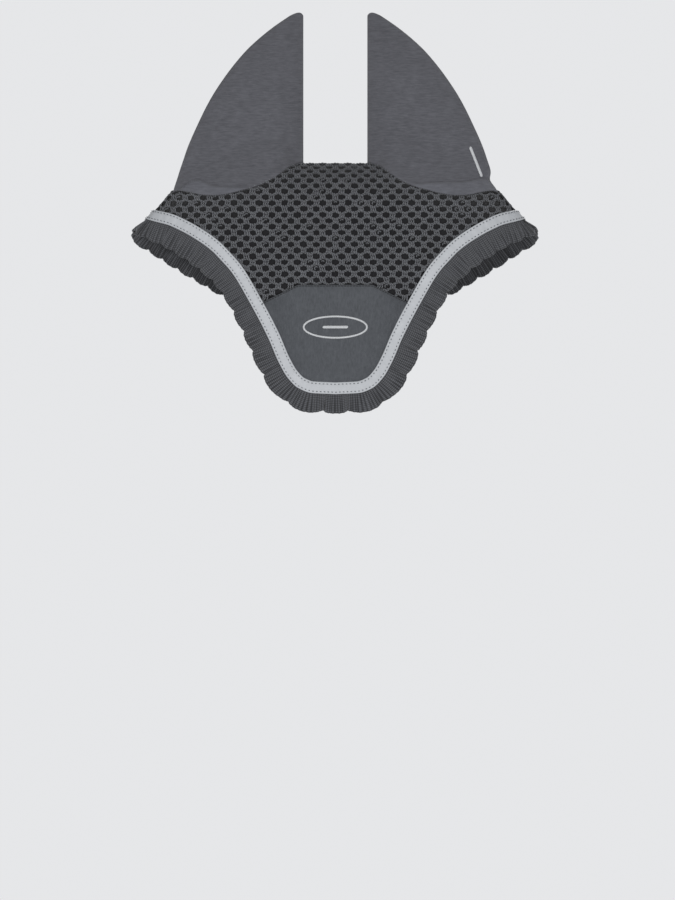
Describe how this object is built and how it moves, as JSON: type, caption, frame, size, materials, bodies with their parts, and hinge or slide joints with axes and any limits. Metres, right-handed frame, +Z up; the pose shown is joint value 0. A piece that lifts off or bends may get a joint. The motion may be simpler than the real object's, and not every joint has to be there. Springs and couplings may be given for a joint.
{
  "type": "horse fly bonnet",
  "caption": "Crocheted fly bonnet for a horse with two fabric ear sleeves, a forehead panel, a ribbon and a scalloped fringe.",
  "frame": {"origin": "on the inner face of the crown at the poll, midway between the ears", "axes": "+Z up towards the ear tips, -Y out of the front of the horse's face, +X to the horse's left"},
  "size_m": [0.4924, 0.1003, 0.4833],
  "materials": {
    "crochet_yarn": "matte cotton yarn, crocheted",
    "ear_jersey": "matte stretch jersey",
    "panel_twill": "matte woven cloth",
    "silver_ribbon": "soft satin ribbon",
    "fringe_knit": "matte fine-ribbed trim",
    "dark_lining": "matte knitted lining",
    "felt": "matte felt",
    "grey_thread": "twisted thread",
    "white_thread": "glossy satin-stitch thread"
  },
  "bodies": {
    "crown": {"net_front": "crochet_yarn", "net_back": "crochet_yarn", "rear_edging": "crochet_yarn", "lining_upper": "dark_lining", "ear_hem_left": "ear_jersey", "ear_hem_right": "ear_jersey", "ribbon_left": "silver_ribbon", "ribbon_right": "silver_ribbon", "stitch_inner_left": "grey_thread", "stitch_inner_right": "grey_thread", "stitch_outer_left": "grey_thread", "stitch_outer_right": "grey_thread", "fringe_left": "fringe_knit", "fringe_right": "fringe_knit"},
    "left_ear": {"ear_left": "ear_jersey", "ear_seam_left": "grey_thread", "ear_mark": "white_thread"},
    "right_ear": {"ear_right": "ear_jersey", "ear_seam_right": "grey_thread"},
    "forehead_flap": {"net_strip": "crochet_yarn", "lining_flap": "dark_lining", "panel": "panel_twill", "panel_felt": "felt", "panel_stitch": "grey_thread", "embroidery": "white_thread", "ribbon_nose": "silver_ribbon", "stitch_inner_nose": "grey_thread", "stitch_outer_nose": "grey_thread", "fringe_nose": "fringe_knit"}
  },
  "joints": [
    {"name": "ear_left_tilt", "type": "hinge", "parent": "crown", "child": "left_ear", "pos_m": [0.116, 0, 0], "axis": [1, 0, 0], "range_deg": [-45, 30], "stiffness_Nm_per_rad": 0.05, "deforming": ["ear_hem_left"]},
    {"name": "ear_right_tilt", "type": "hinge", "parent": "crown", "child": "right_ear", "pos_m": [-0.116, 0, 0], "axis": [1, 0, 0], "range_deg": [-45, 30], "stiffness_Nm_per_rad": 0.05, "deforming": ["ear_hem_right"]},
    {"name": "forehead_flap_lift", "type": "hinge", "parent": "crown", "child": "forehead_flap", "pos_m": [0, -0.0512, -0.136], "axis": [-1, 0, 0], "range_deg": [0, 60]}
  ]
}
